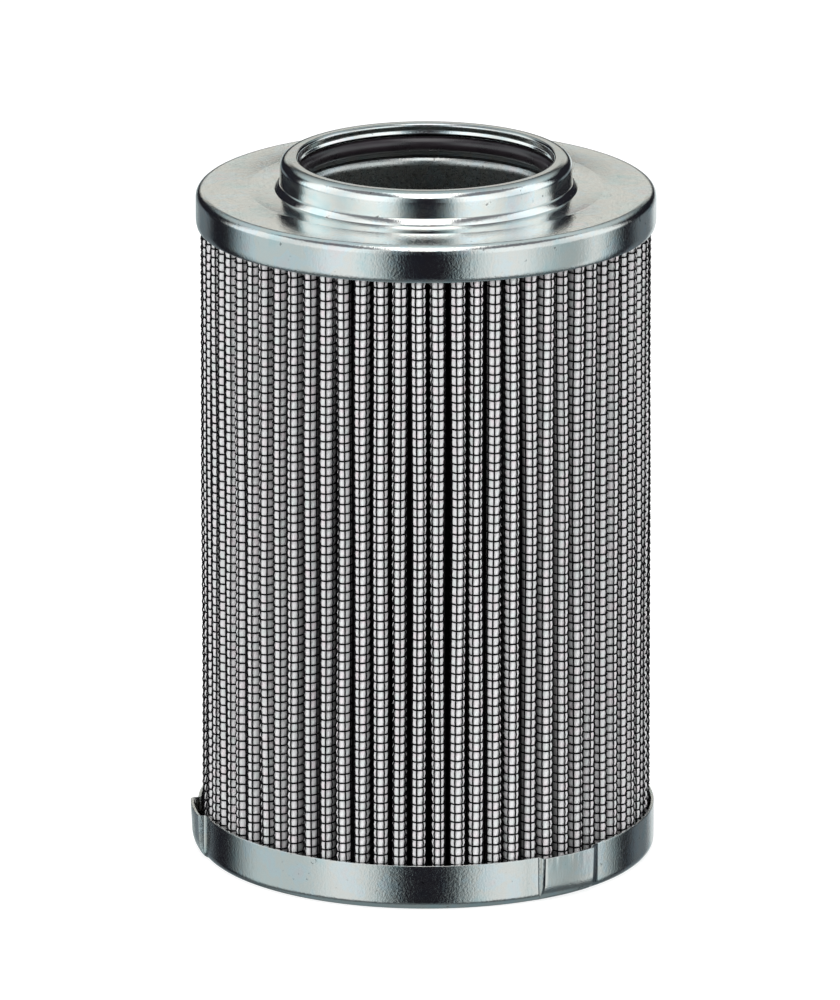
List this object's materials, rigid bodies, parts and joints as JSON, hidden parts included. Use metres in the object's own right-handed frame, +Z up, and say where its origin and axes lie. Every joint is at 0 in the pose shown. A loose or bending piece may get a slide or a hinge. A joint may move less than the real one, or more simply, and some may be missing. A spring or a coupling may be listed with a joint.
{
  "type": "pleated hydraulic filter element",
  "caption": "Cylindrical pleated hydraulic filter element with drawn steel end caps, a collar with an O-ring seal on top and a black wire mesh over white pleats.",
  "frame": {"origin": "centre of the flat base that the element stands on", "axes": "+Z up along the element's axis, out of the neck; -Y faces the picture's viewer"},
  "size_m": [0.0965, 0.095, 0.148],
  "materials": {
    "zinc_steel": "bright zinc plated, drawn sheet",
    "core_steel": "zinc plated, matt",
    "seal_rubber": "satin black",
    "black_wire": "black coated wire",
    "fleece": "matt off-white fleece",
    "glass_fibre": "matt white glass fibre",
    "adhesive": "set adhesive"
  },
  "bodies": {
    "root": {"top_end_cap": "zinc_steel", "seal_collar": "zinc_steel", "bottom_end_cap": "zinc_steel", "core_tube": "core_steel", "seal_o_ring": "seal_rubber", "outer_wire_mesh": "black_wire", "inner_wire_mesh": "black_wire", "outer_fleece": "fleece", "filter_medium": "glass_fibre", "top_adhesive": "adhesive", "bottom_adhesive": "adhesive"}
  },
  "joints": []
}
